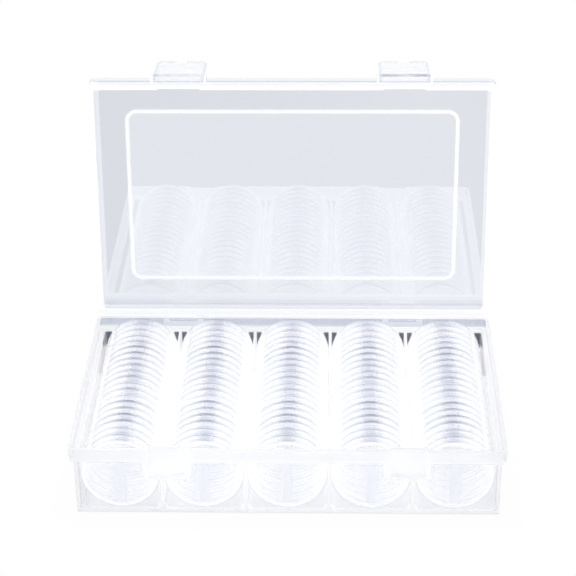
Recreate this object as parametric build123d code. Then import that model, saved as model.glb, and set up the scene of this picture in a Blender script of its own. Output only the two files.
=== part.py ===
from build123d import *
import os

os.makedirs("parts", exist_ok=True)

# A clear hinged storage box that holds five rows of two-piece coin capsules.
#
# Frame: millimetres, +Z up, -Y is the front (the latch side), +Y the back (the hinge
# side). The origin is the centre of the tray's flat underside. The lid and the latches
# are drawn closed and then turned to their rest pose, in which the lid stands open.

# ---------------------------------------------------------------- box, over all
BOX_WIDTH = 178.0
BOX_DEPTH = 110.2
WALL = 1.6
CORNER_RADIUS = 3.0       # the rim band's and the lid's upright corners
BODY_RADIUS = 2.4         # the tray's upright corners below the band

# ---------------------------------------------------------------- tray
TRAY_HEIGHT = 31.7
FLOOR = 1.5
RIM_STEP = 1.8            # how far the rim band stands out from the wall below it
RIM_BAND_HEIGHT = 6.1     # height of the band's outer face
RIM_INSIDE_DEPTH = 4.6    # from the rim down to the ledge inside the band
EDGE_ROUND = 0.4
UNDERSIDE_ROUND = 1.0

# ---------------------------------------------------------------- rows and dividers
ROWS = 5
ROW_PITCH = 34.2
DIVIDER = 1.0
DIVIDER_TOP = 25.8
DIVIDER_FOOT_WIDTH = 2.2  # the divider flares this far to each side at the floor
DIVIDER_FOOT_HEIGHT = 3.4

# ---------------------------------------------------------------- coin capsules
CAPSULES_PER_ROW = 20
CAPSULE_DIAMETER = 32.8
CAPSULE_THICKNESS = 4.95
CAPSULE_PITCH = 5.0       # one capsule and the air gap to the next one
CAPSULE_FRONT_GAP = 0.1
CAPSULE_FLOOR_GAP = 0.05
CAPSULE_CAVITY = 30.1     # takes a 30 mm coin
CAPSULE_FACE = 1.0
FACE_RECESS = 0.2         # the window sits this far below the raised edge ring
EDGE_RING = 1.9           # width of the raised edge ring
CAPSULE_CHAMFER = 0.5
SEAM_GAP = 0.02
SEAM_CHAMFER = 0.2
PLUG_CLEARANCE = 0.05     # radial, between the cover's plug and the base's socket
PLUG_WALL = 0.65
PLUG_END_GAP = 0.1

# ---------------------------------------------------------------- lid
LID_HEIGHT = 9.0
LID_PANEL = 1.5
LID_SEAT_GAP = 0.05
LID_TOP_ROUND = 1.5
LIP_DEPTH = 1.6           # how far the locating lip reaches into the tray's rim
LIP_WALL = 1.0
LIP_CLEARANCE = 0.1
LIP_ROOT = 1.2            # how far the lip runs up the inside of the lid's wall
LIP_ROOT_START = 0.01     # the widened root starts this far above the wall's edge
LIP_POCKET_GAP = 0.3      # from the lip's cut ends to the wall behind a latch pocket
BEAD_WIDTH = 1.7          # the raised rounded rectangle on the lid's panel
BEAD_HEIGHT = 0.6
BEAD_FRAME_WIDTH = 146.0
BEAD_FRAME_DEPTH = 79.5
BEAD_RADIUS = 4.5

# ---------------------------------------------------------------- hinges
HINGE_X = 50.0
HINGE_BEHIND_RIM = 0.6
HINGE_BELOW_RIM = 0.9
HINGE_RADIUS = 1.5
HINGE_CLEARANCE = 0.1
HINGE_PIN_RADIUS = 0.7
HINGE_SOCKET_RADIUS = 0.75
HINGE_MOUTH = 1.1         # the snap-in mouth is narrower than the pin
BARREL_LENGTH = 12.0
EAR_THICKNESS = 3.0
EAR_SIDE_GAP = 0.2
ARM_HEIGHT = 4.0          # how far the lid's arm runs up the lid's back wall
STOP_DROP = 1.83          # the stop shelf's top is this far below the hinge axis
STOP_REACH = 2.4          # and its edge this far behind it
STOP_THICKNESS = 1.5

# ---------------------------------------------------------------- latches
LATCH_X = 49.0
LATCH_WIDTH = 21.8
LATCH_PLATE = 1.2
LATCH_TIP_RADIUS = 1.0    # the rounded lower corners of the plate
LATCH_AXIS_OFFSET = 1.6   # in front of the lid's front wall
LATCH_AXIS_HEIGHT = 2.5   # above the tray's rim
LATCH_BAR_RADIUS = 0.8
LATCH_HOOK_BORE = 0.85
LATCH_HOOK_RADIUS = 1.5
LATCH_MOUTH_ANGLE = 80.0
LATCH_TIP_Z = 15.2
LATCH_LIP_HEIGHT = 1.5
LATCH_LIP_REACH = 1.0
LATCH_LIP_EDGE = 0.6      # thickness at the lip's edge, where it hooks under the catch
LATCH_LIP_INSET = 1.0     # the lip stops this far short of the plate's sides
LATCH_LIP_GAP = 0.15      # between the lip and the catch above it
LATCH_NOTCH_WIDTH = 5.0
LATCH_NOTCH_DEPTH = 1.4
LUG_THICKNESS = 1.0
LUG_SIDE_GAP = 0.2
LUG_DROP = 0.9            # the lugs reach this far below the rim
LUG_RISE = 2.2            # and this far above the latch axis
LUG_TRAY_GAP = 0.1        # between a lug's lower end and the tray's rim band
LUG_NOSE_INSET = 0.1      # a lug's nose is this far behind the latch's hook
LUG_BEVEL = 0.8
LUG_BEVEL_HEIGHT = 1.4
LUG_SLOPE_HEIGHT = 1.8

# ---------------------------------------------------------------- catches on the tray
CATCH_WIDTH = 19.0
CATCH_BOTTOM = 17.4
CATCH_RADIUS = 2.5
POCKET_WIDTH = 14.4
POCKET_BOTTOM = 19.4
POCKET_RADIUS = 1.5
POCKET_BACK = 1.2
POCKET_SIDE = 1.6

# ---------------------------------------------------------------- rest pose
LID_OPEN_ANGLE = 95.3
LATCH_OPEN_ANGLE = 180.0

# ---------------------------------------------------------------- worked out
BODY_WIDTH = BOX_WIDTH - 2 * RIM_STEP
BODY_DEPTH = BOX_DEPTH - 2 * RIM_STEP
INSIDE_WIDTH = BODY_WIDTH - 2 * WALL
INSIDE_DEPTH = BODY_DEPTH - 2 * WALL
LEDGE_TOP = TRAY_HEIGHT - RIM_INSIDE_DEPTH
BAND_BOTTOM = TRAY_HEIGHT - RIM_BAND_HEIGHT
RIM_FRONT = -BOX_DEPTH / 2
RIM_BACK = BOX_DEPTH / 2
BODY_FRONT = -BODY_DEPTH / 2
LID_BOTTOM = TRAY_HEIGHT + LID_SEAT_GAP
LID_TOP = TRAY_HEIGHT + LID_HEIGHT
HINGE_Y = RIM_BACK + HINGE_BEHIND_RIM
HINGE_Z = TRAY_HEIGHT - HINGE_BELOW_RIM
LATCH_Y = RIM_FRONT - LATCH_AXIS_OFFSET
LATCH_Z = TRAY_HEIGHT + LATCH_AXIS_HEIGHT
CAPSULE_RADIUS = CAPSULE_DIAMETER / 2
CAPSULE_Z = FLOOR + CAPSULE_FLOOR_GAP + CAPSULE_RADIUS
FIRST_CAPSULE_Y = -INSIDE_DEPTH / 2 + CAPSULE_FRONT_GAP
SEAM_Y = CAPSULE_THICKNESS / 2
OVERLAP = 0.5             # how far joined features are sunk into each other


def rounded_block(width, depth, bottom, top, radius):
    """A block centred on the Z axis, with rounded upright edges."""
    outline = RectangleRounded(width, depth, radius)
    return Pos(0, 0, bottom) * extrude(outline, amount=top - bottom)


def slab(x_low, x_high, y_low, y_high, z_low, z_high):
    """A plain box between two corners."""
    size = Box(x_high - x_low, y_high - y_low, z_high - z_low)
    return Pos((x_low + x_high) / 2, (y_low + y_high) / 2, (z_low + z_high) / 2) * size


def side_profile(points, x_centre, length):
    """A prism along X whose outline is given as (y, z) points."""
    outline = make_face(Polyline(*points, close=True))
    prism = extrude(Plane.YZ * outline, amount=length / 2, both=True)
    return Pos(x_centre, 0, 0) * prism


def front_profile(points, y_low, y_high):
    """A prism along Y whose outline is given as (x, z) points."""
    outline = make_face(Polyline(*points, close=True))
    prism = extrude(Plane.XZ * outline, amount=y_high - y_low)
    return Pos(0, y_high, 0) * prism


def rod(x_centre, y, z, radius, length):
    """A round bar along X."""
    return Pos(x_centre, y, z) * Rot(0, 90, 0) * Cylinder(radius, length)


def save(node, shape):
    """Write one node's solids to its own file."""
    export_step(shape, f"parts/{node}.step")


# ================================================================ tray
def divider(x):
    """A thin wall between two rows, with a flared foot."""
    half = DIVIDER / 2
    foot = half + DIVIDER_FOOT_WIDTH
    points = [
        (x - foot, FLOOR - OVERLAP),
        (x + foot, FLOOR - OVERLAP),
        (x + foot, FLOOR),
        (x + half, FLOOR + DIVIDER_FOOT_HEIGHT),
        (x + half, DIVIDER_TOP),
        (x - half, DIVIDER_TOP),
        (x - half, FLOOR + DIVIDER_FOOT_HEIGHT),
        (x - foot, FLOOR),
    ]
    reach = INSIDE_DEPTH / 2 + OVERLAP
    return front_profile(points, -reach, reach)


def catch_frame(x):
    """The raised U below the rim band that a latch hooks under."""
    height = BAND_BOTTOM + OVERLAP - CATCH_BOTTOM
    outline = Rectangle(CATCH_WIDTH, height)
    outline = fillet(outline.vertices().group_by(Axis.Y)[0], CATCH_RADIUS)
    block = extrude(Plane.XZ * outline, amount=RIM_STEP + OVERLAP)
    return Pos(x, BODY_FRONT + OVERLAP, CATCH_BOTTOM + height / 2) * block


def catch_pocket(x):
    """The space inside the U, open at the rim."""
    height = TRAY_HEIGHT + 1 - POCKET_BOTTOM
    outline = Rectangle(POCKET_WIDTH, height)
    outline = fillet(outline.vertices().group_by(Axis.Y)[0], POCKET_RADIUS)
    block = extrude(Plane.XZ * outline, amount=RIM_STEP + 1)
    return Pos(x, BODY_FRONT, POCKET_BOTTOM + height / 2) * block


def pocket_back(x):
    """The wall that closes the rim band behind a pocket."""
    half = POCKET_WIDTH / 2 + POCKET_SIDE
    return slab(
        x - half, x + half, BODY_FRONT, BODY_FRONT + POCKET_BACK, LEDGE_TOP - OVERLAP, TRAY_HEIGHT
    )


def hinge_ear(x):
    """One ear of a tray hinge bracket, before its socket is cut."""
    web = [
        (RIM_BACK - OVERLAP, BAND_BOTTOM),
        (RIM_BACK + OVERLAP, BAND_BOTTOM),
        (HINGE_Y + HINGE_RADIUS, BAND_BOTTOM + HINGE_RADIUS),
        (HINGE_Y + HINGE_RADIUS, HINGE_Z),
        (RIM_BACK - OVERLAP, HINGE_Z),
    ]
    disc = rod(x, HINGE_Y, HINGE_Z, HINGE_RADIUS, EAR_THICKNESS)
    return side_profile(web, x, EAR_THICKNESS) + disc


def ear_centres(x):
    """Where the two ears of one hinge stand."""
    offset = BARREL_LENGTH / 2 + EAR_SIDE_GAP + EAR_THICKNESS / 2
    return [x - offset, x + offset]


def hinge_bracket(x):
    """Two ears and the shelf that stops the opened lid."""
    shelf_top = HINGE_Z - STOP_DROP
    shelf = [
        (RIM_BACK - OVERLAP, shelf_top - 2 * STOP_THICKNESS),
        (RIM_BACK + OVERLAP, shelf_top - 2 * STOP_THICKNESS),
        (HINGE_Y + STOP_REACH, shelf_top - STOP_THICKNESS / 2),
        (HINGE_Y + STOP_REACH, shelf_top),
        (RIM_BACK - OVERLAP, shelf_top),
    ]
    span = BARREL_LENGTH + 2 * EAR_SIDE_GAP + 2 * OVERLAP
    bracket = side_profile(shelf, x, span)
    for ear_x in ear_centres(x):
        bracket += hinge_ear(ear_x)
    return bracket


def hinge_sockets(x):
    """Bores for the lid's pins, each with a snap-in mouth on top."""
    reach = BARREL_LENGTH + 2 * (EAR_SIDE_GAP + EAR_THICKNESS) + 2
    bore = rod(x, HINGE_Y, HINGE_Z, HINGE_SOCKET_RADIUS, reach)
    mouth = slab(
        x - reach / 2, x + reach / 2, HINGE_Y - HINGE_MOUTH / 2, HINGE_Y + HINGE_MOUTH / 2,
        HINGE_Z, HINGE_Z + HINGE_RADIUS + 1,
    )
    return bore + mouth


def make_tray():
    body = rounded_block(BODY_WIDTH, BODY_DEPTH, 0, LEDGE_TOP, BODY_RADIUS)
    body = fillet(body.edges().group_by(Axis.Z)[0], UNDERSIDE_ROUND)
    band = rounded_block(BOX_WIDTH, BOX_DEPTH, BAND_BOTTOM, TRAY_HEIGHT, CORNER_RADIUS)
    band = fillet(band.edges().group_by(Axis.Z)[0], EDGE_ROUND)
    band = fillet(band.edges().group_by(Axis.Z)[-1], EDGE_ROUND)
    tray = body + band
    for side in (-1, 1):
        tray += catch_frame(side * LATCH_X)
    tray -= rounded_block(INSIDE_WIDTH, INSIDE_DEPTH, FLOOR, TRAY_HEIGHT, BODY_RADIUS - WALL)
    tray -= rounded_block(
        BOX_WIDTH - 2 * WALL, BOX_DEPTH - 2 * WALL, LEDGE_TOP, TRAY_HEIGHT + 1, CORNER_RADIUS - WALL
    )
    for index in range(ROWS - 1):
        tray += divider((index - (ROWS - 2) / 2) * ROW_PITCH)
    for side in (-1, 1):
        tray -= catch_pocket(side * LATCH_X)
        tray += pocket_back(side * LATCH_X)
        x = side * HINGE_X
        tray -= rod(
            x, HINGE_Y, HINGE_Z, HINGE_RADIUS + HINGE_CLEARANCE, BARREL_LENGTH + 2 * EAR_SIDE_GAP
        )
        tray += hinge_bracket(x)
        tray -= hinge_sockets(x)
    return tray


# ================================================================ lid
def lip_ring(outer_inset, bottom, top):
    """A ring just inside the lid's wall."""
    width = BOX_WIDTH - 2 * WALL - 2 * outer_inset
    depth = BOX_DEPTH - 2 * WALL - 2 * outer_inset
    inner = 2 * (LIP_WALL + LIP_CLEARANCE - outer_inset)
    outside = rounded_block(width, depth, bottom, top, CORNER_RADIUS - WALL)
    inside = rounded_block(width - inner, depth - inner, bottom, top, CORNER_RADIUS - WALL)
    return outside - inside


def panel_bead():
    """The raised rounded rectangle on the lid's outer face."""
    outside = rounded_block(
        BEAD_FRAME_WIDTH + BEAD_WIDTH, BEAD_FRAME_DEPTH + BEAD_WIDTH,
        LID_TOP - OVERLAP, LID_TOP + BEAD_HEIGHT, BEAD_RADIUS + BEAD_WIDTH / 2,
    )
    inside = rounded_block(
        BEAD_FRAME_WIDTH - BEAD_WIDTH, BEAD_FRAME_DEPTH - BEAD_WIDTH,
        LID_TOP - OVERLAP, LID_TOP + BEAD_HEIGHT, BEAD_RADIUS - BEAD_WIDTH / 2,
    )
    bead = outside - inside
    return fillet(bead.edges().group_by(Axis.Z)[-1], EDGE_ROUND)


def lid_hinge(x):
    """A barrel with two pins, on an arm that joins it to the lid's back wall."""
    arm = [
        (RIM_BACK - OVERLAP, LID_BOTTOM),
        (HINGE_Y, HINGE_Z),
        (HINGE_Y + HINGE_RADIUS, HINGE_Z),
        (HINGE_Y + HINGE_RADIUS, HINGE_Z + HINGE_RADIUS + 1),
        (RIM_BACK + OVERLAP, LID_BOTTOM + ARM_HEIGHT),
        (RIM_BACK - OVERLAP, LID_BOTTOM + ARM_HEIGHT),
    ]
    knuckle = side_profile(arm, x, BARREL_LENGTH)
    knuckle += rod(x, HINGE_Y, HINGE_Z, HINGE_RADIUS, BARREL_LENGTH)
    pins = BARREL_LENGTH + 2 * (EAR_SIDE_GAP + EAR_THICKNESS) - OVERLAP
    return knuckle + rod(x, HINGE_Y, HINGE_Z, HINGE_PIN_RADIUS, pins)


def latch_lug(x):
    """One of the two lugs that hold a latch's bar."""
    bottom = TRAY_HEIGHT - LUG_DROP
    top = LATCH_Z + LUG_RISE
    nose = LATCH_Y - LATCH_HOOK_RADIUS + LUG_NOSE_INSET
    back = RIM_FRONT - LUG_TRAY_GAP
    points = [
        (back, bottom),
        (nose + LUG_BEVEL, bottom),
        (nose, bottom + LUG_BEVEL_HEIGHT),
        (nose, top - LUG_SLOPE_HEIGHT),
        (RIM_FRONT - LUG_BEVEL, top),
        (RIM_FRONT + OVERLAP, top),
        (RIM_FRONT + OVERLAP, LID_BOTTOM),
        (back, LID_BOTTOM),
    ]
    return side_profile(points, x, LUG_THICKNESS)


def latch_mount(x):
    """The bar a latch swings on, between its two lugs."""
    offset = LATCH_WIDTH / 2 + LUG_SIDE_GAP + LUG_THICKNESS / 2
    mount = rod(x, LATCH_Y, LATCH_Z, LATCH_BAR_RADIUS, 2 * offset)
    for side in (-1, 1):
        mount += latch_lug(x + side * offset)
    return mount


def make_lid():
    """The lid in its closed position."""
    shell = rounded_block(BOX_WIDTH, BOX_DEPTH, LID_BOTTOM, LID_TOP, CORNER_RADIUS)
    shell = fillet(shell.edges().group_by(Axis.Z)[-1], LID_TOP_ROUND)
    shell = fillet(shell.edges().group_by(Axis.Z)[0], EDGE_ROUND)
    shell -= rounded_block(
        BOX_WIDTH - 2 * WALL, BOX_DEPTH - 2 * WALL, LID_BOTTOM - 1, LID_TOP - LID_PANEL,
        CORNER_RADIUS - WALL,
    )
    # The lip is left off along the back, where it could not swing past the tray's wall.
    lip = lip_ring(LIP_CLEARANCE, LID_BOTTOM - LIP_DEPTH, LID_BOTTOM + LIP_ROOT)
    lip_reach = WALL + LIP_CLEARANCE + LIP_WALL + OVERLAP
    lip_gap = POCKET_WIDTH / 2 + POCKET_SIDE + LIP_POCKET_GAP
    for side in (-1, 1):
        x = side * LATCH_X
        lip -= slab(x - lip_gap, x + lip_gap, RIM_FRONT, RIM_FRONT + lip_reach, 0, LID_BOTTOM)
    lip -= slab(-BOX_WIDTH / 2, BOX_WIDTH / 2, RIM_BACK - lip_reach, RIM_BACK, 0, LID_BOTTOM)
    lid = shell + lip + lip_ring(-OVERLAP, LID_BOTTOM + LIP_ROOT_START, LID_BOTTOM + LIP_ROOT)
    lid += panel_bead()
    for side in (-1, 1):
        x = side * HINGE_X
        for ear_x in ear_centres(x):
            lid -= rod(
                ear_x, HINGE_Y, HINGE_Z, HINGE_RADIUS + HINGE_CLEARANCE,
                EAR_THICKNESS + 2 * EAR_SIDE_GAP,
            )
        lid += lid_hinge(x)
        lid += latch_mount(side * LATCH_X)
    return lid


# ================================================================ latches
def make_latch(x):
    """A latch in its closed position: a snap hook, a plate and a two-part lip."""
    inner_face = LATCH_Y + LATCH_HOOK_RADIUS
    half = LATCH_WIDTH / 2
    hook = rod(x, LATCH_Y, LATCH_Z, LATCH_HOOK_RADIUS, LATCH_WIDTH)
    plate = slab(x - half, x + half, inner_face - LATCH_PLATE, inner_face, LATCH_TIP_Z, LATCH_Z)
    corners = plate.edges().filter_by(Axis.Y).group_by(Axis.Z)[0]
    plate = fillet(corners, LATCH_TIP_RADIUS)
    lip_top = CATCH_BOTTOM - LATCH_LIP_GAP
    lip_points = [
        (inner_face - OVERLAP, lip_top - LATCH_LIP_HEIGHT),
        (inner_face, lip_top - LATCH_LIP_HEIGHT),
        (inner_face + LATCH_LIP_REACH, lip_top - LATCH_LIP_EDGE),
        (inner_face + LATCH_LIP_REACH, lip_top),
        (inner_face - OVERLAP, lip_top),
    ]
    lip = side_profile(lip_points, x, LATCH_WIDTH - 2 * LATCH_LIP_INSET)
    gap = LATCH_NOTCH_WIDTH / 2
    lip -= slab(x - gap, x + gap, inner_face, inner_face + 2, 0, LATCH_Z)
    latch = hook + plate + lip
    latch -= slab(
        x - gap, x + gap, inner_face - 2, inner_face + 2, 0, LATCH_TIP_Z + LATCH_NOTCH_DEPTH
    )
    latch -= rod(x, LATCH_Y, LATCH_Z, LATCH_HOOK_BORE, LATCH_WIDTH + 2)
    far = 4 * LATCH_HOOK_RADIUS
    spread = far * sin_degrees(LATCH_MOUTH_ANGLE / 2)
    mouth = [
        (LATCH_Y, LATCH_Z),
        (LATCH_Y - far, LATCH_Z + spread),
        (LATCH_Y - far, LATCH_Z - spread),
    ]
    return latch - side_profile(mouth, x, LATCH_WIDTH + 2)


def sin_degrees(angle):
    """The sine of an angle in degrees."""
    return Vector(1, 0, 0).rotate(Axis.Z, angle).Y


# ================================================================ capsules
def turned(points):
    """A solid turned about the Y axis, from (radius, y) points."""
    return revolve(make_face(Polyline(*points, close=True)), Axis.Y)


def make_capsule_base():
    """The half with the socket; its window is at y = 0."""
    ring = CAPSULE_RADIUS - EDGE_RING
    socket = CAPSULE_CAVITY / 2 + PLUG_WALL + PLUG_CLEARANCE
    seam = SEAM_Y - SEAM_GAP / 2
    inside = FACE_RECESS + CAPSULE_FACE
    return turned([
        (0, FACE_RECESS),
        (ring, FACE_RECESS),
        (ring + FACE_RECESS, 0),
        (CAPSULE_RADIUS - CAPSULE_CHAMFER, 0),
        (CAPSULE_RADIUS, CAPSULE_CHAMFER),
        (CAPSULE_RADIUS, seam - SEAM_CHAMFER),
        (CAPSULE_RADIUS - SEAM_CHAMFER, seam),
        (socket, seam),
        (socket, inside),
        (0, inside),
    ])


def make_capsule_cover():
    """The half with the plug; its window is at y = CAPSULE_THICKNESS."""
    ring = CAPSULE_RADIUS - EDGE_RING
    cavity = CAPSULE_CAVITY / 2
    plug = cavity + PLUG_WALL
    seam = SEAM_Y + SEAM_GAP / 2
    back = CAPSULE_THICKNESS
    plug_end = FACE_RECESS + CAPSULE_FACE + PLUG_END_GAP
    inside = back - FACE_RECESS - CAPSULE_FACE
    return turned([
        (0, back - FACE_RECESS),
        (0, inside),
        (cavity, inside),
        (cavity, plug_end),
        (plug, plug_end),
        (plug, seam),
        (CAPSULE_RADIUS - SEAM_CHAMFER, seam),
        (CAPSULE_RADIUS, seam + SEAM_CHAMFER),
        (CAPSULE_RADIUS, back - CAPSULE_CHAMFER),
        (CAPSULE_RADIUS - CAPSULE_CHAMFER, back),
        (ring + FACE_RECESS, back),
        (ring, back - FACE_RECESS),
    ])


def placed(half, row, index):
    """One capsule half, moved to its place in its row."""
    x = (row - (ROWS - 1) / 2) * ROW_PITCH
    y = FIRST_CAPSULE_Y + index * CAPSULE_PITCH
    return Pos(x, y, CAPSULE_Z) * half


# ================================================================ the parts
def lid_axis():
    """The hinge axis; a positive turn about it opens the lid."""
    return Axis((0, HINGE_Y, HINGE_Z), (-1, 0, 0))


def latch_axis():
    """The latch axis on the closed lid; a positive turn opens a latch."""
    return Axis((0, LATCH_Y, LATCH_Z), (-1, 0, 0))


save("base_tray", make_tray())
save("lid", make_lid().rotate(lid_axis(), LID_OPEN_ANGLE))
for name, side in (("left_latch", -1), ("right_latch", 1)):
    latch = make_latch(side * LATCH_X).rotate(latch_axis(), LATCH_OPEN_ANGLE)
    save(name, latch.rotate(lid_axis(), LID_OPEN_ANGLE))

capsule_base = make_capsule_base()
capsule_cover = make_capsule_cover()
LAST = CAPSULES_PER_ROW - 1
for row in range(ROWS):
    label = f"row_{row + 1}"
    save(f"{label}_front_capsule_base", placed(capsule_base, row, 0))
    save(f"{label}_front_capsule_cover", placed(capsule_cover, row, 0))
    middle = range(1, LAST)
    save(f"{label}_middle_capsule_bases", Compound([placed(capsule_base, row, i) for i in middle]))
    save(f"{label}_middle_capsule_covers", Compound([placed(capsule_cover, row, i) for i in middle]))
    save(f"{label}_back_capsule_base", placed(capsule_base, row, LAST))
    save(f"{label}_back_capsule_cover", placed(capsule_cover, row, LAST))
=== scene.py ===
import math

import bpy
from mathutils import Matrix, Vector

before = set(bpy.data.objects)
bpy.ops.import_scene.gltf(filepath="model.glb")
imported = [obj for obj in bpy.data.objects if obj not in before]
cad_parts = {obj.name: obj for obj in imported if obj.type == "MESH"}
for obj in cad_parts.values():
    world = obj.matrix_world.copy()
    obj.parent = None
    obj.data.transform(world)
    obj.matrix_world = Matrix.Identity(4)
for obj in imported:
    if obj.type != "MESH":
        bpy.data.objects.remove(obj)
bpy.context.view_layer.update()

# The looks of a clear box of coin capsules: moulded see-through plastic on a white set,
# lit so brightly from all round that the plastic nearly melts into the background.
# Places are millimetres in the frame, colours are linear light, 1.0 is white paper.

# ------------------------------------------------------------------ camera
CAMERA_PLACE = (19.3, -668.2, 441.9)
CAMERA_PITCH = 28.657     # degrees down from level
CAMERA_YAW = -1.69        # degrees to the right of straight ahead
CAMERA_ROLL = -0.603
CAMERA_LENS = 114.03
CAMERA_SENSOR = 36.0
CAMERA_NEAREST = 0.01     # metres

# ------------------------------------------------------------------ set
FLOOR_SIZE = 12.0         # metres
FLOOR_DROP = 0.0002
BEHIND_PLASTIC = 1.025    # the paper's brightness as seen through the object
UNDER_TRAY_MIRRORED = 0.95  # the paper under the tray, as reflections show it
UNDER_TRAY_REACH = 4.0
FLOOR_MIRRORED = 0.12
FLOOR_LIGHT = 1.12        # the paper as a lamp for the milky parts
CONTACT_SHADOW_DEPTH = 0.24      # painted contact shadow: the paper darkened right at the tray's foot
CONTACT_SHADOW_REACH = 1.6
# a soft painted shade on the paper round the tray
SHADE_DEPTH = 0.014
SHADE_REACH = 26.0
FALL_OFF = 2.0
WHITE = (1.0, 1.0, 1.0)
SKY_BACK = (0.98, 0.98, 0.99)
SKY_TOP = (0.52, 0.54, 0.62)
SKY_SIDE = (1.07, 1.07, 1.08)
SKY_FRONT = (0.10, 0.11, 0.14)
SKY_TOP_FADE = (0.12, 0.45)  # the direction's z, y and x where each part begins and is full
SKY_FRONT_FADE = (-0.25, -0.75)
SKY_SIDE_FADE = (0.18, 0.46)

# ------------------------------------------------------------------ the object's shape
ROW_PITCH = 34.2
CAPSULE_PITCH = 5.0
CAPSULE_AXIS_Z = 17.95
FIRST_CAPSULE_Y = -51.6
CAPSULE_RADIUS = 16.4
WINDOW_RADIUS = 14.5
TRAY_HALF_X = 89.0
TRAY_HALF_Y = 55.1
STEP = 1.8                # the rim band stands out this far
UNDERSIDE_ROUND = 1.0
WALL = 1.6
STEP_BOTTOM = 25.5
STEP_TOP = 27.2
RIM_Z = 31.7
FLOOR_PLATE_Z = 1.5
DIVIDER_TOP = 25.8
DIVIDER_HALF = 0.55
OUTER_ROW_X = 2 * ROW_PITCH
LID_AXIS = (0.0, 55.7, 30.8)
LID_OPEN_ANGLE = 95.3
LID_EDGE_Z = 33.0         # with the lid closed, the wall's milky lower edge ends here
LID_HINGE_WALL_Z = 32.5   # and the back wall's painted grey shade starts here
LID_PANEL_Z = 39.1        # the panel's inner face when the lid is closed
LID_TOP_Z = 40.7
BEAD_HALF = (73.0, 39.75) # the raised rounded rectangle's centre line
BEAD_RADIUS = 4.5
BEAD_HALF_WIDTH = 0.75
CATCH_HALF_WIDTH = 9.6    # the tray's U-shaped catches, under the latches
CATCH_BOTTOM_Z = 17.4
POCKET_HALF_WIDTH = 7.2   # the space inside a catch
LATCH_X = 49.0
LATCH_HALF_WIDTH = 10.9
LATCH_HOOK_Y = -56.7      # the latch's turning axis, with the lid closed
LATCH_HOOK_Z = 34.2

TRAY_INSIDE_X = TRAY_HALF_X - STEP - WALL
TRAY_INSIDE_Y = TRAY_HALF_Y - STEP - WALL
LID_INSIDE_X = TRAY_HALF_X - WALL
LID_INSIDE_Y = TRAY_HALF_Y - WALL

MM_PER_METRE = 1000.0
SKIN = 0.1                # a place this near to a face still counts as on it
SOFT = 0.2                # the usual width of a mask's soft edge


class Graph:
    """A material's shader nodes. Values are numbers, tuples or output sockets."""

    def __init__(self, tree):
        tree.nodes.clear()
        self.tree = tree

    def add(self, kind, settings=None, inputs=None):
        """A new node with its settings and inputs (by name or index) filled in."""
        made = self.tree.nodes.new(kind)
        for key, value in (settings or {}).items():
            setattr(made, key, value)
        for key, value in (inputs or {}).items():
            self.feed(made.inputs[key], value)
        return made

    def feed(self, slot, value):
        """Sets an input to a number or a colour, or links a socket to it."""
        if isinstance(value, bpy.types.NodeSocket):
            self.tree.links.new(value, slot)
        elif isinstance(value, tuple) and len(slot.default_value) == 4:
            slot.default_value = (*value[:3], 1.0)
        else:
            slot.default_value = value

    def math(self, operation, first, second=0.0, clamp=False):
        made = self.add("ShaderNodeMath", {"operation": operation, "use_clamp": clamp},
                        {0: first, 1: second})
        return made.outputs[0]

    def times(self, *values):
        result = values[0]
        for value in values[1:]:
            result = self.math("MULTIPLY", result, value)
        return result

    def most(self, *values):
        result = values[0]
        for value in values[1:]:
            result = self.math("MAXIMUM", result, value)
        return result

    def length(self, first, second):
        """The length of a flat vector from its two sides."""
        squares = self.math("ADD", self.times(first, first), self.times(second, second))
        return self.math("SQRT", squares)

    def flip(self, value):
        return self.math("SUBTRACT", 1.0, value)

    def fade(self, value, low, high):
        """A smooth step from 0 at low to 1 at high; low may be the larger."""
        made = self.add("ShaderNodeMapRange", {"interpolation_type": "SMOOTHSTEP"},
                        {"Value": value, "From Min": low, "From Max": high})
        return made.outputs["Result"]

    def above(self, value, level, soft=SOFT):
        """1 from level upwards, falling to 0 over a soft edge below it."""
        return self.fade(value, level - soft, level)

    def below(self, value, level, soft=SOFT):
        """1 up to level, falling to 0 over a soft edge above it."""
        return self.fade(value, level + soft, level)

    def band(self, value, low, high, soft):
        """1 between low and high, falling to 0 over a soft edge on each side."""
        return self.times(self.above(value, low, soft), self.below(value, high, soft))

    def between(self, value, low, high):
        """value 0..1 turned into low..high."""
        made = self.add("ShaderNodeMapRange", None,
                        {"Value": value, "To Min": low, "To Max": high})
        return made.outputs["Result"]

    def colour(self, factor, first, second):
        """A colour between first and second."""
        made = self.add("ShaderNodeMix", {"data_type": "RGBA"},
                        {0: factor, 6: first, 7: second})
        return made.outputs[2]

    def number(self, factor, first, second):
        """A number between first and second."""
        made = self.add("ShaderNodeMix", {"data_type": "FLOAT"}, {0: factor, 2: first, 3: second})
        return made.outputs[0]

    def shade(self, factor, first, second):
        """A shader between first and second."""
        return self.add("ShaderNodeMixShader", None, {0: factor, 1: first, 2: second}).outputs[0]

    def noise(self, place, scale, detail=2.0):
        """A noise value centred on 0.5; scale is per metre of place."""
        made = self.add("ShaderNodeTexNoise", None,
                        {"Vector": place, "Scale": scale, "Detail": detail})
        return made.outputs["Fac"]

    def millimetres(self, vector):
        """The x, y and z of a place given in metres."""
        scaled = self.add("ShaderNodeVectorMath", {"operation": "SCALE"},
                          {0: vector, "Scale": MM_PER_METRE})
        split = self.add("ShaderNodeSeparateXYZ", None, {0: scaled.outputs[0]})
        return split.outputs[0], split.outputs[1], split.outputs[2]

    def facing_sideways(self):
        """How far the mirrored view goes to the left or right: 0 to 1."""
        mirrored = self.add("ShaderNodeTexCoord").outputs["Reflection"]
        split = self.add("ShaderNodeSeparateXYZ", None, {0: mirrored})
        return self.math("ABSOLUTE", split.outputs[0])


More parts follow.
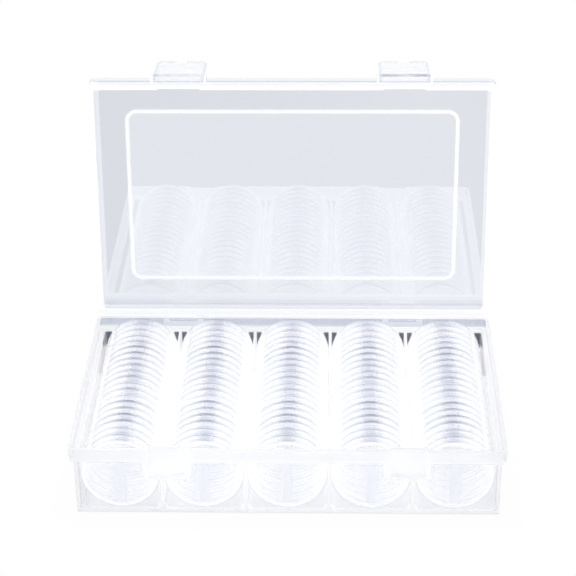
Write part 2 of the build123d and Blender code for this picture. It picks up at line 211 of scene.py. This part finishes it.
# ------------------------------------------------------------------ the clear plastic
IOR = 1.49
MOST_SHINE = 0.28
WAVES_PER_METRE = 60.0
WAVE_DEPTH = 0.0006       # metres
GRAINS_PER_METRE = 1400.0
GRAIN_DEPTH = 0.0001


def plastic_normal(g, look, waves, grain):
    """The surface's direction, with moulding waves and a fine grain."""
    waved = g.add("ShaderNodeBump", None,
                  {"Strength": look["ripple"], "Distance": WAVE_DEPTH, "Height": waves})
    grained = g.add("ShaderNodeBump", None,
                    {"Strength": look["grain"], "Distance": GRAIN_DEPTH, "Height": grain,
                     "Normal": waved.outputs[0]})
    normal = grained.outputs[0]
    if "mirror_lean" not in look:
        return normal
    lean = g.add("ShaderNodeVectorTransform",
                 {"vector_type": "VECTOR", "convert_from": "OBJECT", "convert_to": "WORLD"},
                 {0: look["mirror_lean"]})
    leant = g.add("ShaderNodeVectorMath", {"operation": "ADD"}, {0: normal, 1: lean.outputs[0]})
    unit = g.add("ShaderNodeVectorMath", {"operation": "NORMALIZE"}, {0: leant.outputs[0]})
    return unit.outputs[0]


def clear_plastic(name, draw):
    """A see-through moulded plastic.

    draw(g, place, x, y, z) returns what differs from piece to piece: "tint", the colour
    that light keeps when it passes one surface; "milk", the milky share, high where the
    plastic is thick; "milk_colour"; "gloss" and "roughness", how strongly and how sharply
    the surface mirrors; "ripple" and "grain", how uneven it is. Two more are optional:
    "mirror_lean" turns the mirror image, and "one_mirror" keeps it to the front surface.
    """
    material = bpy.data.materials.new(name)
    material.use_nodes = True
    g = Graph(material.node_tree)
    place = g.add("ShaderNodeTexCoord").outputs["Object"]
    x, y, z = g.millimetres(place)
    look = draw(g, place, x, y, z)

    through = g.add("ShaderNodeBsdfTransparent", None, {"Color": look["tint"]}).outputs[0]
    near = g.add("ShaderNodeBsdfDiffuse", None, {"Color": look["milk_colour"]}).outputs[0]
    beyond = g.add("ShaderNodeBsdfTranslucent", None, {"Color": look["milk_colour"]}).outputs[0]
    body = g.shade(look["milk"], through, g.shade(0.5, near, beyond))

    waves = g.noise(place, WAVES_PER_METRE, detail=1.0)
    grain = g.noise(place, GRAINS_PER_METRE, detail=3.0)
    normal = plastic_normal(g, look, waves, grain)
    roughness = g.between(grain, look["roughness"], look["roughness"] * 2.0)
    mirror = g.add("ShaderNodeBsdfGlossy", None,
                   {"Color": WHITE, "Roughness": roughness, "Normal": normal})
    fresnel = g.add("ShaderNodeFresnel", None, {"IOR": IOR, "Normal": normal}).outputs[0]
    shine = g.math("MINIMUM", g.times(fresnel, look["gloss"]), MOST_SHINE)
    in_mirror = g.add("ShaderNodeLightPath").outputs["Is Glossy Ray"]
    shine = g.times(shine, g.flip(in_mirror))
    if look.get("one_mirror"):
        backfacing = g.add("ShaderNodeNewGeometry").outputs["Backfacing"]
        shine = g.times(shine, g.flip(backfacing))
    surface = g.shade(shine, body, mirror.outputs[0])
    g.add("ShaderNodeOutputMaterial", None, {"Surface": surface})
    return material


# ------------------------------------------------------------------ tray
TRAY_TINT = (0.978, 0.981, 0.987)
TRAY_SIDE_TINT = (0.945, 0.949, 0.958)    # inner faces of the side walls
TRAY_FLOOR_TINT = (0.945, 0.949, 0.960)
TRAY_BACK_SHADE_TINT = (0.71, 0.74, 0.80)       # painted shade: the back wall above the step, darkened
TRAY_MILK = (0.90, 0.90, 0.91)
TRAY_THICK_MILK = (0.93, 0.93, 0.935)
# painted shade: greyer milk on the front wall, thin and thick places
TRAY_FRONT_SHADED_MILK = (0.755, 0.762, 0.78)
TRAY_FRONT_SHADED_THICK_MILK = (0.885, 0.886, 0.893)
TRAY_BAND_SHADE_MILK = (0.862, 0.866, 0.874)    # painted shade: greyer milk on the band above the step, and inside the catches
TRAY_HAZE = (0.06, 0.14)                  # the milky share of the thin walls
# the share of the front wall's grey veil: part haze, part painted shade
TRAY_FRONT_HAZE_AND_SHADE = 0.26
TRAY_THICK_SHARE = 0.85
TRAY_CLOUDS_PER_METRE = 35.0
TRAY_GLOSS = 1.0
TRAY_FRONT_GLOSS = 0.2
BAND_SKIN = 0.3                           # the rim band's front face and its rounded edges
FLOOR_EDGE = 1.0                          # width of the floor's white edge
WEDGE_SHADE_TINT = (0.14, 0.155, 0.22)          # painted shade: dark wedges under the step, beside the dividers
WEDGE_FOOT_Z = 16.2
WEDGE_FADE = (16.0, 18.5)
WEDGE_TOP = STEP_BOTTOM - 0.5
WEDGE_SPREAD = 0.30                       # sideways for each step up
WEDGE_EDGE = (0.8, 0.1)


def tray_thick_places(g, side, ends, y, z, from_divider):
    """The step, dividers, rim, catches and floor edge: thick or seen edge-on, so white."""
    rim_top = g.above(z, RIM_Z - SKIN, SKIN)
    step = g.band(z, STEP_BOTTOM, STEP_TOP, BAND_SKIN)
    divider = g.times(g.below(from_divider, DIVIDER_HALF, 2 * SOFT), g.below(z, DIVIDER_TOP),
                      g.below(side, OUTER_ROW_X))
    catch = g.times(g.below(y, STEP - TRAY_HALF_Y - SOFT, SKIN), g.below(z, STEP_BOTTOM, SKIN))
    floor_edge = g.times(g.below(z, FLOOR_PLATE_Z, 2 * SOFT),
                         g.most(g.above(side, TRAY_INSIDE_X, FLOOR_EDGE),
                                g.above(ends, TRAY_INSIDE_Y, FLOOR_EDGE)))
    return g.most(step, divider, rim_top, catch, floor_edge)


def tray_wedge_shade(g, side, z, from_divider):
    """Where a wedge of painted shade widens upwards beside each divider and side wall."""
    from_side = g.math("SUBTRACT", TRAY_INSIDE_X, side)
    spread = g.times(g.math("SUBTRACT", z, WEDGE_FOOT_Z), WEDGE_SPREAD)
    from_edge = g.math("SUBTRACT", g.math("MINIMUM", from_divider, from_side), spread)
    return g.times(g.fade(z, *WEDGE_FADE), g.below(z, WEDGE_TOP, SKIN),
                   g.fade(from_edge, *WEDGE_EDGE))


def draw_tray(g, place, x, y, z):
    """Thin clear walls with white thick places; painted shade greys the front wall and the back wall
    above the step, and darkens wedges under the step at the back.
    """
    side = g.math("ABSOLUTE", x)
    ends = g.math("ABSOLUTE", y)
    in_row = g.math("PINGPONG", side, ROW_PITCH)
    from_divider = g.math("ABSOLUTE", g.math("SUBTRACT", in_row, ROW_PITCH / 2))
    front = g.below(y, SKIN - TRAY_INSIDE_Y)
    front_band = g.times(g.below(y, BAND_SKIN - TRAY_HALF_Y),
                         g.above(z, STEP_BOTTOM + BAND_SKIN, 2 * SOFT))
    from_latch = g.math("ABSOLUTE", g.math("SUBTRACT", side, LATCH_X))
    at_catch = g.times(g.below(from_latch, CATCH_HALF_WIDTH), g.above(z, CATCH_BOTTOM_Z),
                       front)
    in_catch = g.times(at_catch, g.below(from_latch, POCKET_HALF_WIDTH))
    thick = g.most(tray_thick_places(g, side, ends, y, z, from_divider), front_band, at_catch)
    haze = g.between(g.noise(place, TRAY_CLOUDS_PER_METRE, detail=3.0), *TRAY_HAZE)

    at_back = g.band(y, TRAY_INSIDE_Y - SKIN, TRAY_HALF_Y + SKIN, SKIN)
    # painted shade darkens the back wall above the step
    back_wall_shade = g.times(at_back, g.band(z, STEP_TOP + BAND_SKIN, RIM_Z - 2 * SOFT, BAND_SKIN))
    # painted shade: dark wedges under the step at the back
    wedge_shade = g.times(at_back, tray_wedge_shade(g, side, z, from_divider))
    tint = g.colour(g.above(side, TRAY_INSIDE_X - SKIN), TRAY_TINT, TRAY_SIDE_TINT)
    tint = g.colour(g.below(z, FLOOR_PLATE_Z + SKIN), tint, TRAY_FLOOR_TINT)
    tint = g.colour(back_wall_shade, tint, TRAY_BACK_SHADE_TINT)
    tint = g.colour(wedge_shade, tint, WEDGE_SHADE_TINT)

    upper_band = g.times(front_band, g.above(z, STEP_TOP + BAND_SKIN))
    # the front wall's milk is greyed with painted shade
    thin_milk = g.colour(front, TRAY_MILK, TRAY_FRONT_SHADED_MILK)
    thick_milk = g.colour(front, TRAY_THICK_MILK, TRAY_FRONT_SHADED_THICK_MILK)
    # painted shade greys the upper band and the catch pockets
    thick_milk = g.colour(g.most(in_catch, upper_band), thick_milk, TRAY_BAND_SHADE_MILK)
    return {
        "tint": tint,
        "milk": g.most(haze, g.times(front, TRAY_FRONT_HAZE_AND_SHADE), g.times(thick, TRAY_THICK_SHARE)),
        "milk_colour": g.colour(thick, thin_milk, thick_milk),
        "gloss": g.times(g.between(front, TRAY_GLOSS, TRAY_FRONT_GLOSS), g.flip(at_catch)),
        "roughness": 0.09,
        "ripple": 0.12,
        "grain": 0.05,
    }


# ------------------------------------------------------------------ lid
# painted shade: the panel's grey stands in for dimmer surroundings seen through it, darker to the left
LID_SHADE_LEFT = (0.874, 0.889, 0.922)
LID_SHADE_RIGHT = (0.904, 0.917, 0.946)
LID_SHADE_INNER = (0.918, 0.932, 0.961)    # inside the raised rounded rectangle
LID_SHADE_ENDS = (0.74, 0.77, 0.83)        # painted shade: a darker line along the panel's two long sides
LID_INNER_FADE = (0.0, -1.0)
LID_ENDS_SHARE = 0.7
LID_ENDS_FADE = (1.4, 0.2)
LID_WALL_TINT = (0.965, 0.97, 0.975)
LID_FRONT_WALL_TINT = (0.935, 0.942, 0.955)
# painted shade: the hinge wall greyed like the panel
LID_HINGE_WALL_SHADE = (0.872, 0.887, 0.922)
LID_WALL_MILK = 0.35
LID_EDGE_MILK = 0.75
LID_CLEAR_MILK = 0.03
BEAD_MILK = 0.97
BEAD_FOOT = 0.5                           # the bead's white reaches this far into the panel
LID_CLOUDS_PER_METRE = 18.0
LID_CLOUD_SPREAD = 0.3
LID_GLOSS = 0.3
LID_PANEL_GLOSS = 3.4
LID_BOW = (0.0, 0.0, -0.09)  # the panel sags a little, so it mirrors as if it stood straighter
HINGE_WALL_TOP = 0.8                      # its thin white corner line starts this far down


def with_lid_closed(g, place):
    """The x, y and z of a place on the lid, in millimetres, as if the lid were closed."""
    centre = tuple(v / MM_PER_METRE for v in LID_AXIS)
    closed = g.add("ShaderNodeVectorRotate", {"rotation_type": "X_AXIS"},
                   {"Vector": place, "Center": centre, "Angle": math.radians(LID_OPEN_ANGLE)})
    return g.millimetres(closed.outputs[0])


def from_bead_line(g, side, ends):
    """The distance from the rounded rectangle's centre line; negative inside it."""
    over_x = g.math("SUBTRACT", side, BEAD_HALF[0] - BEAD_RADIUS)
    over_y = g.math("SUBTRACT", ends, BEAD_HALF[1] - BEAD_RADIUS)
    corner = g.length(g.most(over_x, 0.0), g.most(over_y, 0.0))
    inset = g.math("MINIMUM", g.most(over_x, over_y), 0.0)
    return g.math("SUBTRACT", g.math("ADD", corner, inset), BEAD_RADIUS)


def lid_panel_shade(g, place, x, ends, from_bead):
    """The panel's painted shade: grey, darker to the left and along its long sides, lighter in the
    middle.
    """
    clouds = g.between(g.noise(place, LID_CLOUDS_PER_METRE), -LID_CLOUD_SPREAD, LID_CLOUD_SPREAD)
    rightward = g.math("ADD", g.fade(x, -TRAY_HALF_X, TRAY_HALF_X), clouds)
    outside = g.colour(rightward, LID_SHADE_LEFT, LID_SHADE_RIGHT)
    tint = g.colour(g.fade(from_bead, *LID_INNER_FADE), outside, LID_SHADE_INNER)
    from_ends = g.math("SUBTRACT", LID_INSIDE_Y, ends)
    dark_line = g.times(g.fade(from_ends, *LID_ENDS_FADE), LID_ENDS_SHARE)
    return g.colour(dark_line, tint, LID_SHADE_ENDS)


def draw_lid(g, place, x, y, z):
    """A flat panel greyed with painted shade; its walls and the raised rounded rectangle look white."""
    x, y, z = with_lid_closed(g, place)
    side = g.math("ABSOLUTE", x)
    ends = g.math("ABSOLUTE", y)
    panel = g.times(g.above(z, LID_PANEL_Z), g.below(side, LID_INSIDE_X - SKIN),
                    g.below(ends, LID_INSIDE_Y - SKIN))
    from_bead = from_bead_line(g, side, ends)
    bead = g.times(g.below(g.math("ABSOLUTE", from_bead), BEAD_HALF_WIDTH),
                   g.above(z, LID_PANEL_Z, BEAD_FOOT))

    hinge_wall = g.times(g.above(y, LID_INSIDE_Y - SKIN),
                         g.band(z, LID_HINGE_WALL_Z, LID_TOP_Z - HINGE_WALL_TOP, SOFT))
    front_wall = g.below(y, SKIN - LID_INSIDE_Y)
    edge = g.below(z, LID_EDGE_Z, 2 * SOFT)
    wall_tint = g.colour(front_wall, LID_WALL_TINT, LID_FRONT_WALL_TINT)
    wall_tint = g.colour(hinge_wall, wall_tint, LID_HINGE_WALL_SHADE)
    clear_wall = g.most(hinge_wall, g.times(front_wall, g.flip(edge)))
    wall_milk = g.number(edge, LID_WALL_MILK, LID_EDGE_MILK)
    wall_milk = g.number(clear_wall, wall_milk, LID_CLEAR_MILK)
    return {
        "tint": g.colour(panel, wall_tint, lid_panel_shade(g, place, x, ends, from_bead)),
        "milk": g.most(g.times(bead, BEAD_MILK), g.times(g.flip(panel), wall_milk), LID_CLEAR_MILK),
        "milk_colour": WHITE,
        "gloss": g.between(g.times(panel, g.flip(bead)), LID_GLOSS, LID_PANEL_GLOSS),
        "roughness": 0.003,
        "ripple": 0.0,
        "grain": 0.002,
        "mirror_lean": LID_BOW,
        "one_mirror": True,
    }


# ------------------------------------------------------------------ latches
LATCH_TINT = (0.965, 0.97, 0.978)
LATCH_MILK = (0.90, 0.90, 0.92)
LATCH_FLANGE_MILK = (0.68, 0.70, 0.76)    # the two narrow sides
LATCH_FLANGE_SHARE = 0.5
LATCH_FLANGE = (1.4, 0.9)                 # from the latch's sides, where it begins and is full
LATCH_FOLD_SHADE_MILK = (0.42, 0.44, 0.48)      # painted shade at the fold of the hook
LATCH_FOLD_Y = (0.7, 1.1)                 # in front of the hook's axis, likewise
LATCH_FOLD_Z = (1.3, 0.9)                 # above it
LATCH_FOLD_SHARE = (0.45, 1.0)
LATCH_FOLD_CLOUDS = (0.35, 0.55)
LATCH_HAZE = (0.35, 0.6)
LATCH_SHADOW_MILK = 0.8
LATCH_CLOUDS_PER_METRE = 90.0


def draw_latch(g, place, x, y, z):
    """Small thick mouldings, mostly white, with a broken dark line of painted shade at the hook's fold.
    """
    x, y, z = with_lid_closed(g, place)
    clouds = g.noise(place, LATCH_CLOUDS_PER_METRE)
    # painted shade: a broken dark line at the hook's fold
    fold = g.times(
        g.fade(y, LATCH_HOOK_Y - LATCH_FOLD_Y[0], LATCH_HOOK_Y - LATCH_FOLD_Y[1]),
        g.fade(z, LATCH_HOOK_Z + LATCH_FOLD_Z[0], LATCH_HOOK_Z + LATCH_FOLD_Z[1]),
    )
    broken = g.between(g.fade(clouds, *LATCH_FOLD_CLOUDS), *LATCH_FOLD_SHARE)
    shadow = g.times(fold, broken)
    colour = g.colour(shadow, LATCH_MILK, LATCH_FOLD_SHADE_MILK)
    from_middle = g.math("ABSOLUTE", g.math("SUBTRACT", g.math("ABSOLUTE", x), LATCH_X))
    flange = g.fade(from_middle, LATCH_HALF_WIDTH - LATCH_FLANGE[0], LATCH_HALF_WIDTH - LATCH_FLANGE[1])
    colour = g.colour(g.times(flange, LATCH_FLANGE_SHARE), colour, LATCH_FLANGE_MILK)
    return {
        "tint": LATCH_TINT,
        "milk": g.most(g.between(clouds, *LATCH_HAZE), g.times(shadow, LATCH_SHADOW_MILK)),
        "milk_colour": colour,
        "gloss": 0.4,
        "roughness": 0.12,
        "ripple": 0.15,
        "grain": 0.05,
    }


# ------------------------------------------------------------------ capsules
CAPSULE_TINT = (0.9965, 0.9968, 0.9975)
CAPSULE_FOOT_SHADOW_TINT = (0.58, 0.60, 0.69)    # painted contact shadow: a thin dark line round the lower half of the front ones
CAPSULE_MILK = (0.89, 0.89, 0.90)
SHEEN = (0.46, 0.49, 0.585)  # the rings' tops, where they mirror the room and not the lamps
GROOVE_SHADE = (0.36, 0.38, 0.46)    # painted shade: a dark line in the groove between two capsules
SHEEN_STREAK = (0.70, 0.72, 0.77)  # painted reflection: a soft upright streak in the front windows, standing in for the rings' sheen behind them
WINDOW_SHARE = 0.004         # the milky shares
RING_SHARE = 0.16
RIM_SHARE = 0.34
SHEEN_SHARE = 0.66
LINE_SHARE = 0.9
FRONT_RING_SHARE = 0.75
STREAK_SHARE = 0.32
CAPSULE_CLOUDS_PER_METRE = 120.0
SIDEWAYS = (0.04, 0.38)      # how far a mirrored view must turn to reach the side lamps
UPPER_HALF = (-4.0, 4.0)
IN_MIRROR = 1.7              # sheen and grooves are this much stronger in the lid's mirror
GROOVE = (1.25, 0.5)
GROOVE_DEPTH = 0.7
FRONT_RING = (14.6, 15.9)
FOOT_LINE = (15.85, 16.1)
STREAK_SIDE = (7.5, 1.5)     # where it has faded out and where it is full
STREAK_TOP = (9.5, 8.0)
STREAK_RADIUS = 14.0
GROOVE_LOW_SHARE = 0.14
GROOVE_LOW_SIDE = (7.0, 2.0)
GROOVE_HIGH_SIDE = (14.0, 11.0)
GROOVE_CREST = (9.0, 1.0)
GROOVE_CREST_SHARE = 0.72
LINE_CHANCE = (0.55, 1.1)    # grooves differ from one to the next,
LINE_SIDEWAYS = 0.8          # and are fainter where the side lamps show
SHEEN_CLOUDS = (0.7, 1.3)    # the sheen varies along a ring,
SHEEN_CHANCE = (0.6, 1.0)    # differs from one half to the next,
SHEEN_BELOW = 0.5            # and is weaker on the lower half
FRONT_SKIN = 0.3             # the front capsules' outer faces reach this far back
FOOT_LINE_SKIN = 0.5
WINDOW_EDGE = 0.5            # the soft step from window to ring
CAPSULE_GLOSS = (0.12, 0.8)
GLOSS_BELOW = 0.2


def groove_shade_strength(g, across, upper):
    """How dark the painted groove shade is round the capsule: most on top, little below."""
    low = g.times(g.fade(across, *GROOVE_LOW_SIDE), GROOVE_LOW_SHARE)
    crest = g.between(g.fade(across, *GROOVE_CREST), GROOVE_CREST_SHARE, 1.0)
    high = g.times(g.fade(across, *GROOVE_HIGH_SIDE), crest)
    return g.number(upper, low, high)


def draw_capsule(g, place, x, y, z):
    """Clear windows between white edge rings; a bluish sheen where the rings face up."""
    across = g.math("PINGPONG", g.math("ABSOLUTE", x), ROW_PITCH / 2)
    up = g.math("SUBTRACT", z, CAPSULE_AXIS_Z)
    radius = g.length(across, up)
    upper = g.fade(up, *UPPER_HALF)
    ring = g.above(radius, WINDOW_RADIUS + SOFT, WINDOW_EDGE)
    rim = g.above(radius, CAPSULE_RADIUS - SOFT, 2 * SOFT)
    along = g.math("FLOORED_MODULO", g.math("SUBTRACT", y, FIRST_CAPSULE_Y), CAPSULE_PITCH)
    from_groove = g.math("MINIMUM", along, g.math("SUBTRACT", CAPSULE_PITCH, along))
    groove = g.times(g.fade(from_groove, *GROOVE),
                     g.above(radius, CAPSULE_RADIUS - GROOVE_DEPTH, 2 * SOFT))

    chance = g.add("ShaderNodeNewGeometry").outputs["Random Per Island"]
    clouds = g.noise(place, CAPSULE_CLOUDS_PER_METRE)
    not_sideways = g.flip(g.fade(g.facing_sideways(), *SIDEWAYS))
    again = g.between(g.add("ShaderNodeLightPath").outputs["Is Glossy Ray"], 1.0, IN_MIRROR)
    sheen = g.times(not_sideways, rim, again, g.between(clouds, *SHEEN_CLOUDS),
                    g.between(chance, *SHEEN_CHANCE), g.between(upper, SHEEN_BELOW, 1.0))
    # painted shade in the grooves between capsules
    shade_line = g.times(groove, groove_shade_strength(g, across, upper), again,
                   g.between(chance, *LINE_CHANCE), g.between(not_sideways, LINE_SIDEWAYS, 1.0))

    at_front = g.below(y, FIRST_CAPSULE_Y + FRONT_SKIN)
    front_ring = g.times(at_front, g.band(radius, *FRONT_RING, SKIN))
    # painted reflection: a sheen streak on the front windows
    sheen_streak = g.times(at_front, g.below(radius, STREAK_RADIUS, WINDOW_EDGE),
                     g.fade(across, *STREAK_SIDE), g.fade(up, *STREAK_TOP))
    # painted contact shadow along the front capsules' lower rims
    foot_shadow = g.times(g.fade(radius, *FOOT_LINE), g.flip(upper),
                        g.below(y, FIRST_CAPSULE_Y + FOOT_LINE_SKIN))

    milk = g.most(WINDOW_SHARE, g.times(ring, RING_SHARE), g.times(rim, RIM_SHARE),
                  g.times(sheen, SHEEN_SHARE), g.times(shade_line, LINE_SHARE),
                  g.times(front_ring, FRONT_RING_SHARE))
    milk = g.most(g.times(milk, g.flip(foot_shadow)), g.times(sheen_streak, STREAK_SHARE))
    colour = g.colour(sheen, CAPSULE_MILK, SHEEN)
    colour = g.colour(shade_line, colour, GROOVE_SHADE)
    colour = g.colour(sheen_streak, colour, SHEEN_STREAK)
    colour = g.colour(front_ring, colour, WHITE)
    return {
        "tint": g.colour(foot_shadow, CAPSULE_TINT, CAPSULE_FOOT_SHADOW_TINT),
        "milk": milk,
        "milk_colour": colour,
        "gloss": g.between(g.times(rim, g.between(upper, GLOSS_BELOW, 1.0)), *CAPSULE_GLOSS),
        "roughness": 0.10,
        "ripple": 0.08,
        "grain": 0.05,
    }


TRAY = clear_plastic("tray_clear_plastic", draw_tray)
LID = clear_plastic("lid_clear_plastic", draw_lid)
LATCH = clear_plastic("latch_clear_plastic", draw_latch)
CAPSULE = clear_plastic("capsule_clear_plastic", draw_capsule)
SHARP_ANGLE = 30.0


def dress(name, material):
    """Gives a CAD node its material and smooth shading across its rounded faces.

    Light and soft light pass the clear plastic as if it weren't there, so the inside of
    the box is as bright as the outside.
    """
    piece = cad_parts[name]
    piece.data.materials.clear()
    piece.data.materials.append(material)
    piece.data.shade_smooth()
    piece.data.set_sharp_from_angle(angle=math.radians(SHARP_ANGLE))
    piece.visible_shadow = False
    piece.visible_diffuse = False


ONE_OF_A_KIND = {"base_tray": TRAY, "lid": LID, "left_latch": LATCH, "right_latch": LATCH}
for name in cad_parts:
    dress(name, ONE_OF_A_KIND.get(name, CAPSULE))


# ------------------------------------------------------------------ making the set
def make_floor():
    """A white sweep with a painted contact shadow line and a soft painted shade where the tray stands.
    """
    bpy.ops.mesh.primitive_plane_add(size=FLOOR_SIZE, location=(0, 0, -FLOOR_DROP))
    floor = bpy.context.object
    floor.name = "floor"
    material = bpy.data.materials.new("white_sweep")
    material.use_nodes = True
    g = Graph(material.node_tree)
    paths = g.add("ShaderNodeLightPath")
    x, y, z = g.millimetres(g.add("ShaderNodeTexCoord").outputs["Object"])
    over_x = g.math("SUBTRACT", g.math("ABSOLUTE", x), TRAY_HALF_X - STEP - UNDERSIDE_ROUND)
    over_y = g.math("SUBTRACT", g.math("ABSOLUTE", y), TRAY_HALF_Y - STEP - UNDERSIDE_ROUND)
    away = g.length(g.most(over_x, 0.0), g.most(over_y, 0.0))
    # painted shadow: a dark contact line and a soft shade round the tray's foot
    shade_line = g.times(g.math("POWER", g.fade(away, CONTACT_SHADOW_REACH, 0.0), FALL_OFF), CONTACT_SHADOW_DEPTH)
    shade = g.times(g.math("POWER", g.fade(away, SHADE_REACH, 0.0), FALL_OFF), SHADE_DEPTH)
    open_paper = g.flip(g.math("ADD", shade_line, shade))
    through = g.math("GREATER_THAN", paths.outputs["Transparent Depth"], 0.5)
    seen = g.math("ADD", g.times(through, BEHIND_PLASTIC), g.times(g.flip(through), open_paper))
    mirrored = g.between(g.fade(away, UNDER_TRAY_REACH, 0.0), FLOOR_MIRRORED, UNDER_TRAY_MIRRORED)
    glossy = paths.outputs["Is Glossy Ray"]
    soft = paths.outputs["Is Diffuse Ray"]
    seen = g.math("ADD", g.times(soft, FLOOR_LIGHT), g.times(g.flip(soft), seen))
    level = g.math("ADD", g.times(glossy, mirrored), g.times(g.flip(glossy), seen))
    glow = g.add("ShaderNodeEmission", None, {"Color": WHITE, "Strength": level})
    g.add("ShaderNodeOutputMaterial", None, {"Surface": glow.outputs[0]})
    floor.data.materials.append(material)


def make_sky():
    """White to the camera; to the plastic, bright sides, bluish above, dark in front."""
    world = bpy.data.worlds.new("studio")
    bpy.context.scene.world = world
    world.use_nodes = True
    g = Graph(world.node_tree)
    direction = g.add("ShaderNodeTexCoord").outputs["Generated"]
    split = g.add("ShaderNodeSeparateXYZ", None, {0: direction})
    x, y, z = split.outputs[0], split.outputs[1], split.outputs[2]
    top = g.fade(z, *SKY_TOP_FADE)
    paths = g.add("ShaderNodeLightPath")
    front = g.times(g.fade(y, *SKY_FRONT_FADE), g.flip(paths.outputs["Is Diffuse Ray"]))
    side = g.fade(g.math("ABSOLUTE", x), *SKY_SIDE_FADE)
    sky = g.colour(top, SKY_BACK, SKY_TOP)
    sky = g.colour(front, sky, SKY_FRONT)
    sky = g.colour(side, sky, SKY_SIDE)
    seen = g.colour(paths.outputs["Is Camera Ray"], sky,
                    (BEHIND_PLASTIC, BEHIND_PLASTIC, BEHIND_PLASTIC))
    shine = g.add("ShaderNodeBackground", None, {"Color": seen})
    g.add("ShaderNodeOutputWorld", None, {"Surface": shine.outputs[0]})


def make_camera():
    """The camera, placed and turned by the named values at the top."""
    pitch, yaw, roll = (math.radians(a) for a in (CAMERA_PITCH, CAMERA_YAW, CAMERA_ROLL))
    ahead = Vector((
        math.sin(yaw) * math.cos(pitch), math.cos(yaw) * math.cos(pitch), -math.sin(pitch)
    ))
    right = Vector((math.cos(yaw), -math.sin(yaw), 0.0))
    up = right.cross(ahead)
    turned_right = right * math.cos(roll) + up * math.sin(roll)
    turned_up = up * math.cos(roll) - right * math.sin(roll)
    basis = Matrix((turned_right, turned_up, -ahead)).transposed().to_4x4()
    camera = bpy.data.cameras.new("camera")
    camera.sensor_width = CAMERA_SENSOR
    camera.lens = CAMERA_LENS
    camera.clip_start = CAMERA_NEAREST
    shooter = bpy.data.objects.new("camera", camera)
    place = Vector(v / MM_PER_METRE for v in CAMERA_PLACE)
    shooter.matrix_world = Matrix.Translation(place) @ basis
    bpy.context.scene.collection.objects.link(shooter)
    bpy.context.scene.camera = shooter


make_floor()
make_sky()
make_camera()

scene = bpy.context.scene
scene.view_settings.view_transform = "Standard"
scene.cycles.max_bounces = 6
scene.cycles.diffuse_bounces = 2
scene.cycles.glossy_bounces = 2
scene.cycles.transparent_max_bounces = 128
